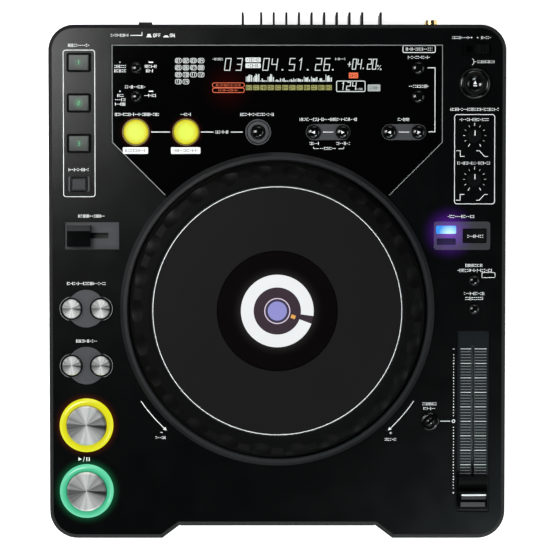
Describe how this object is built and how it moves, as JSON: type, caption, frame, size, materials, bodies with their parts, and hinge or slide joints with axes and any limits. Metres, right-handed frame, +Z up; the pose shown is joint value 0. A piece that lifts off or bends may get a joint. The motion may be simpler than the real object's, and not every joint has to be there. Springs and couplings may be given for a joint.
{
  "type": "tabletop dj cd player",
  "caption": "Tabletop disc player with a sloping deck, a large jog wheel, transport and hot cue keys, a tempo fader, a display panel and a front disc slot.",
  "frame": {"origin": "middle of the bounding box's footprint, on the surface that the feet stand on", "axes": "+X to the user's right, +Y to the rear, +Z up; the deck slopes up towards +Y"},
  "size_m": [0.32, 0.37, 0.105],
  "materials": {
    "deck_black": "satin black moulded plastic",
    "chassis_steel": "black coated steel sheet",
    "foot_rubber": "matte rubber",
    "panel_gloss": "polished black",
    "window_glass": "dark display glass",
    "slot_plastic": "fine texture",
    "collar_grey": "satin dark grey",
    "cast_metal": "as cast",
    "jog_gloss": "glossy black",
    "jog_matte": "matte dark grey",
    "trim_metal": "bright",
    "display_black": "polished black window",
    "cue_lens": "lit yellow lens",
    "play_lens": "lit green lens",
    "fader_black": "satin blue-black",
    "knob_black": "satin black",
    "hot_key": "dark translucent grey-green",
    "key_black": "satin black",
    "loop_lens": "lit yellow lens",
    "spun_silver": "circular spun",
    "gold_plate": "gold plated",
    "board_green": "solder resist",
    "drive_steel": "pressed steel",
    "roller_rubber": "matte rubber"
  },
  "bodies": {
    "chassis": {"top_cover": "deck_black", "bottom_chassis": "chassis_steel", "rear_panel": "chassis_steel", "feet": "foot_rubber", "display_panel": "panel_gloss", "display_module": "window_glass", "slot_lips": "slot_plastic", "jog_collar": "collar_grey", "jog_base": "cast_metal", "jog_display": "display_black", "cue_ring": "cue_lens", "play_ring": "play_lens", "button_collars": "collar_grey", "fader_plate": "fader_black", "fader_body": "drive_steel", "heat_sink": "deck_black", "rear_jacks": "gold_plate", "mains_inlet": "slot_plastic", "circuit_boards": "board_green", "drive_frame": "drive_steel"},
    "jog": {"jog_wheel": "jog_gloss", "jog_plate": "jog_matte", "jog_trim": "trim_metal", "encoder_disc": "knob_black"},
    "hot_cue_button_1": {"hot_cue_button_1": "hot_key"},
    "hot_cue_button_2": {"hot_cue_button_2": "hot_key"},
    "hot_cue_button_3": {"hot_cue_button_3": "hot_key"},
    "rec_mode_button": {"rec_mode_button": "key_black"},
    "jog_mode_button": {"jog_mode_button": "key_black"},
    "time_mode_button": {"time_mode_button": "key_black"},
    "display_mode_button": {"display_mode_button": "key_black"},
    "memory_button": {"memory_button": "key_black"},
    "delete_button": {"delete_button": "key_black"},
    "loop_in_button": {"loop_in_button": "loop_lens"},
    "loop_out_button": {"loop_out_button": "loop_lens"},
    "reloop_button": {"reloop_button": "key_black"},
    "wave_back_button": {"wave_back_button": "key_black"},
    "wave_forward_button": {"wave_forward_button": "key_black"},
    "call_back_button": {"call_back_button": "key_black"},
    "call_forward_button": {"call_forward_button": "key_black"},
    "eject_button": {"eject_button": "key_black"},
    "tempo_range_button": {"tempo_range_button": "key_black"},
    "master_tempo_button": {"master_tempo_button": "key_black"},
    "tempo_reset_button": {"tempo_reset_button": "key_black"},
    "track_back_button": {"track_back_button": "spun_silver"},
    "track_forward_button": {"track_forward_button": "spun_silver"},
    "search_back_button": {"search_back_button": "spun_silver"},
    "search_forward_button": {"search_forward_button": "spun_silver"},
    "cue_button": {"cue_button": "spun_silver"},
    "play_button": {"play_button": "spun_silver"},
    "tempo_slider": {"tempo_slider": "knob_black"},
    "direction_lever": {"direction_lever": "knob_black"},
    "lock_switch": {"lock_switch": "knob_black"},
    "brake_knob": {"brake_knob": "knob_black"},
    "start_knob": {"start_knob": "knob_black"},
    "power_button": {"power_button": "key_black"},
    "turntable_hub": {"turntable_hub": "knob_black"},
    "pickup": {"pickup": "cast_metal"},
    "sled_screw": {"sled_screw": "drive_steel"},
    "loading_roller": {"loading_roller": "roller_rubber"}
  },
  "joints": [
    {"name": "jog_turn", "type": "hinge", "parent": "chassis", "child": "jog", "pos_m": [0, -0.02383, 0.08254], "axis": [0, -0.0775, 0.997], "continuous": true},
    {"name": "hot_cue_1_press", "type": "slide", "parent": "chassis", "child": "hot_cue_button_1", "axis": [0, 0.0775, -0.997], "range_m": [0, 0.0015], "stiffness_N_per_m": 400, "springref_m": -0.002},
    {"name": "hot_cue_2_press", "type": "slide", "parent": "chassis", "child": "hot_cue_button_2", "axis": [0, 0.0775, -0.997], "range_m": [0, 0.0015], "stiffness_N_per_m": 400, "springref_m": -0.002},
    {"name": "hot_cue_3_press", "type": "slide", "parent": "chassis", "child": "hot_cue_button_3", "axis": [0, 0.0775, -0.997], "range_m": [0, 0.0015], "stiffness_N_per_m": 400, "springref_m": -0.002},
    {"name": "rec_mode_press", "type": "slide", "parent": "chassis", "child": "rec_mode_button", "axis": [0, 0.0775, -0.997], "range_m": [0, 0.0015], "stiffness_N_per_m": 400, "springref_m": -0.002},
    {"name": "jog_mode_press", "type": "slide", "parent": "chassis", "child": "jog_mode_button", "axis": [0, 0.0775, -0.997], "range_m": [0, 0.0015], "stiffness_N_per_m": 400, "springref_m": -0.002},
    {"name": "time_mode_press", "type": "slide", "parent": "chassis", "child": "time_mode_button", "axis": [0, 0.0775, -0.997], "range_m": [0, 0.0015], "stiffness_N_per_m": 400, "springref_m": -0.002},
    {"name": "display_mode_press", "type": "slide", "parent": "chassis", "child": "display_mode_button", "axis": [0, 0.0775, -0.997], "range_m": [0, 0.0015], "stiffness_N_per_m": 400, "springref_m": -0.002},
    {"name": "memory_press", "type": "slide", "parent": "chassis", "child": "memory_button", "axis": [0, 0.0775, -0.997], "range_m": [0, 0.0015], "stiffness_N_per_m": 400, "springref_m": -0.002},
    {"name": "delete_press", "type": "slide", "parent": "chassis", "child": "delete_button", "axis": [0, 0.0775, -0.997], "range_m": [0, 0.0015], "stiffness_N_per_m": 400, "springref_m": -0.002},
    {"name": "loop_in_press", "type": "slide", "parent": "chassis", "child": "loop_in_button", "axis": [0, 0.0775, -0.997], "range_m": [0, 0.0015], "stiffness_N_per_m": 400, "springref_m": -0.002},
    {"name": "loop_out_press", "type": "slide", "parent": "chassis", "child": "loop_out_button", "axis": [0, 0.0775, -0.997], "range_m": [0, 0.0015], "stiffness_N_per_m": 400, "springref_m": -0.002},
    {"name": "reloop_press", "type": "slide", "parent": "chassis", "child": "reloop_button", "axis": [0, 0.0775, -0.997], "range_m": [0, 0.0015], "stiffness_N_per_m": 400, "springref_m": -0.002},
    {"name": "wave_back_press", "type": "slide", "parent": "chassis", "child": "wave_back_button", "axis": [0, 0.0775, -0.997], "range_m": [0, 0.0015], "stiffness_N_per_m": 400, "springref_m": -0.002},
    {"name": "wave_forward_press", "type": "slide", "parent": "chassis", "child": "wave_forward_button", "axis": [0, 0.0775, -0.997], "range_m": [0, 0.0015], "stiffness_N_per_m": 400, "springref_m": -0.002},
    {"name": "call_back_press", "type": "slide", "parent": "chassis", "child": "call_back_button", "axis": [0, 0.0775, -0.997], "range_m": [0, 0.0015], "stiffness_N_per_m": 400, "springref_m": -0.002},
    {"name": "call_forward_press", "type": "slide", "parent": "chassis", "child": "call_forward_button", "axis": [0, 0.0775, -0.997], "range_m": [0, 0.0015], "stiffness_N_per_m": 400, "springref_m": -0.002},
    {"name": "eject_press", "type": "slide", "parent": "chassis", "child": "eject_button", "axis": [0, 0.0775, -0.997], "range_m": [0, 0.0015], "stiffness_N_per_m": 400, "springref_m": -0.002},
    {"name": "tempo_range_press", "type": "slide", "parent": "chassis", "child": "tempo_range_button", "axis": [0, 0.0775, -0.997], "range_m": [0, 0.0015], "stiffness_N_per_m": 400, "springref_m": -0.002},
    {"name": "master_tempo_press", "type": "slide", "parent": "chassis", "child": "master_tempo_button", "axis": [0, 0.0775, -0.997], "range_m": [0, 0.0015], "stiffness_N_per_m": 400, "springref_m": -0.002},
    {"name": "tempo_reset_press", "type": "slide", "parent": "chassis", "child": "tempo_reset_button", "axis": [0, 0.0775, -0.997], "range_m": [0, 0.0015], "stiffness_N_per_m": 400, "springref_m": -0.002},
    {"name": "track_back_press", "type": "slide", "parent": "chassis", "child": "track_back_button", "axis": [0, 0.0775, -0.997], "range_m": [0, 0.0015], "stiffness_N_per_m": 400, "springref_m": -0.002},
    {"name": "track_forward_press", "type": "slide", "parent": "chassis", "child": "track_forward_button", "axis": [0, 0.0775, -0.997], "range_m": [0, 0.0015], "stiffness_N_per_m": 400, "springref_m": -0.002},
    {"name": "search_back_press", "type": "slide", "parent": "chassis", "child": "search_back_button", "axis": [0, 0.0775, -0.997], "range_m": [0, 0.0015], "stiffness_N_per_m": 400, "springref_m": -0.002},
    {"name": "search_forward_press", "type": "slide", "parent": "chassis", "child": "search_forward_button", "axis": [0, 0.0775, -0.997], "range_m": [0, 0.0015], "stiffness_N_per_m": 400, "springref_m": -0.002},
    {"name": "cue_press", "type": "slide", "parent": "chassis", "child": "cue_button", "axis": [0, 0.0775, -0.997], "range_m": [0, 0.0015], "stiffness_N_per_m": 400, "springref_m": -0.002},
    {"name": "play_press", "type": "slide", "parent": "chassis", "child": "play_button", "axis": [0, 0.0775, -0.997], "range_m": [0, 0.0015], "stiffness_N_per_m": 400, "springref_m": -0.002},
    {"name": "tempo_slide", "type": "slide", "parent": "chassis", "child": "tempo_slider", "axis": [0, 0.997, 0.0775], "range_m": [0, 0.1]},
    {"name": "direction_slide", "type": "slide", "parent": "chassis", "child": "direction_lever", "axis": [1, 0, 0], "range_m": [0, 0.018]},
    {"name": "lock_slide", "type": "slide", "parent": "chassis", "child": "lock_switch", "axis": [-1, 0, 0], "range_m": [0, 0.009]},
    {"name": "brake_turn", "type": "hinge", "parent": "chassis", "child": "brake_knob", "pos_m": [0.1379, 0.09761, 0.09198], "axis": [0, -0.0775, 0.997], "range_deg": [-150, 150]},
    {"name": "start_turn", "type": "hinge", "parent": "chassis", "child": "start_knob", "pos_m": [0.1379, 0.0671, 0.08961], "axis": [0, -0.0775, 0.997], "range_deg": [-150, 150]},
    {"name": "power_press", "type": "slide", "parent": "chassis", "child": "power_button", "axis": [0, -1, 0], "range_m": [0, 0.0025], "stiffness_N_per_m": 400, "springref_m": -0.002},
    {"name": "disc_spin", "type": "hinge", "parent": "chassis", "child": "turntable_hub", "pos_m": [0, -0.1075, 0.036], "axis": [0, 0, 1], "continuous": true},
    {"name": "pickup_slide", "type": "slide", "parent": "chassis", "child": "pickup", "axis": [0, 1, 0], "range_m": [0, 0.035]},
    {"name": "sled_screw_turn", "type": "hinge", "parent": "chassis", "child": "sled_screw", "pos_m": [0.038, -0.1075, 0.028], "axis": [0, 1, 0], "range_deg": [0, 1055]},
    {"name": "roller_spin", "type": "hinge", "parent": "chassis", "child": "loading_roller", "pos_m": [0, -0.1635, 0.033], "axis": [1, 0, 0], "continuous": true}
  ],
  "couplings": [
    {"joint": "sled_screw_turn", "follows": "pickup_slide", "rad_per_m": 523.6}
  ]
}
